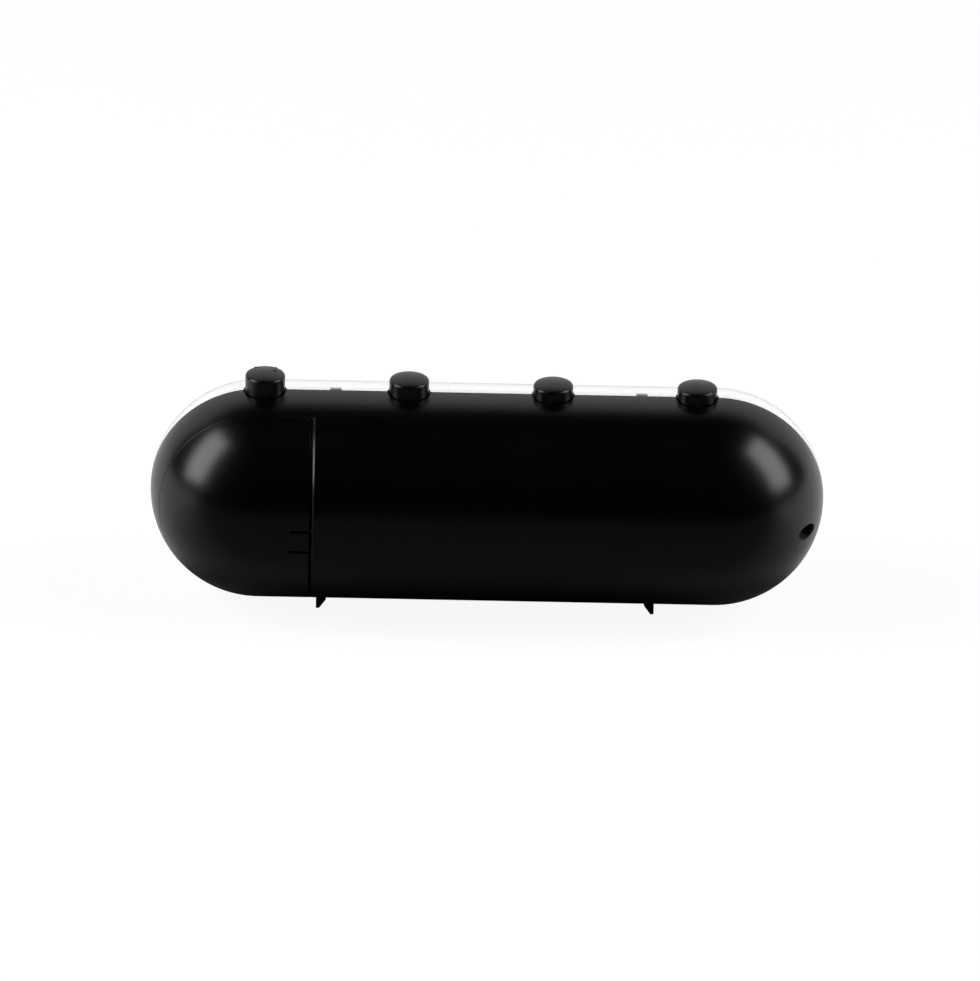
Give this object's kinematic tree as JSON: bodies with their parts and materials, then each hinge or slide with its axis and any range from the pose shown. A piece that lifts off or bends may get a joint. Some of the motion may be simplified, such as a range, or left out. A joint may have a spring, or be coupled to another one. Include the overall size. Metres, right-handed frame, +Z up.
{
  "type": "desk alarm clock",
  "caption": "Capsule-shaped desk alarm clock with a black rear shell, clear front lens, digital display, push buttons on top, hinged battery door and low-voltage socket.",
  "frame": {"origin": "centre of the box that holds the whole clock, on the surface that it stands on", "axes": "+X along the capsule towards the battery end, +Y out of the black back, +Z up; the display faces -Y"},
  "size_m": [0.201, 0.065, 0.0732],
  "materials": {
    "case_black": "satin black moulding",
    "lens_clear": "clear polished moulding",
    "window_smoke": "smoked polished plate",
    "inner_black": "matt black moulding",
    "light_guide": "milky translucent",
    "lamp_chip": "clear resin over a yellow chip",
    "board_green": "green solder mask",
    "chip_black": "matt moulded package",
    "crystal_can": "drawn can",
    "capacitor_can": "sleeved can",
    "buzzer_black": "matt moulded",
    "button_black": "satin black moulding",
    "frame_grey": "matt grey moulding",
    "switch_body": "matt moulded",
    "switch_plunger": "matt moulded",
    "ribbon": "satin film",
    "cell_sleeve": "printed metal sleeve, left plain",
    "contact_metal": "nickel-plated spring strip",
    "socket_black": "matt moulded",
    "pin_metal": "turned pin",
    "screw_steel": "plated",
    "foot_black": "matt black moulding"
  },
  "bodies": {
    "clock": {"rear_shell": "case_black", "front_lens": "lens_clear", "battery_tray": "case_black", "left_foot": "foot_black", "right_foot": "foot_black", "display_housing": "inner_black", "display_window": "window_smoke", "hours_tens_digit": "light_guide", "hours_units_digit": "light_guide", "minutes_tens_digit": "light_guide", "minutes_units_digit": "light_guide", "colon_guide": "light_guide", "segment_leds": "lamp_chip", "main_board": "board_green", "control_chip": "chip_black", "quartz_crystal": "crystal_can", "filter_capacitor": "capacitor_can", "buzzer": "buzzer_black", "button_frame": "frame_grey", "switch_board": "board_green", "switch_ribbon": "ribbon", "switch_1": "switch_body", "switch_2": "switch_body", "switch_3": "switch_body", "switch_4": "switch_body", "battery_cell_1": "cell_sleeve", "plate_contact_1": "contact_metal", "spring_contact_1": "contact_metal", "battery_cell_2": "cell_sleeve", "plate_contact_2": "contact_metal", "spring_contact_2": "contact_metal", "power_socket": "socket_black", "socket_pin": "pin_metal", "board_screws": "screw_steel", "case_screws": "screw_steel"},
    "button_1": {"top_button_1": "button_black", "plunger_1": "switch_plunger"},
    "button_2": {"top_button_2": "button_black", "plunger_2": "switch_plunger"},
    "button_3": {"top_button_3": "button_black", "plunger_3": "switch_plunger"},
    "button_4": {"top_button_4": "button_black", "plunger_4": "switch_plunger"},
    "battery_lid": {"battery_door": "case_black"}
  },
  "joints": [
    {"name": "button_1_press", "type": "slide", "parent": "clock", "child": "button_1", "axis": [0, 0, -1], "range_m": [0, 0.0008], "stiffness_N_per_m": 2500},
    {"name": "button_2_press", "type": "slide", "parent": "clock", "child": "button_2", "axis": [0, 0, -1], "range_m": [0, 0.0008], "stiffness_N_per_m": 2500},
    {"name": "button_3_press", "type": "slide", "parent": "clock", "child": "button_3", "axis": [0, 0, -1], "range_m": [0, 0.0008], "stiffness_N_per_m": 2500},
    {"name": "button_4_press", "type": "slide", "parent": "clock", "child": "button_4", "axis": [0, 0, -1], "range_m": [0, 0.0008], "stiffness_N_per_m": 2500},
    {"name": "battery_lid_hinge", "type": "hinge", "parent": "clock", "child": "battery_lid", "pos_m": [0.0979, 0.0128, 0.0347], "axis": [0, 0, -1], "range_deg": [0, 45]}
  ]
}
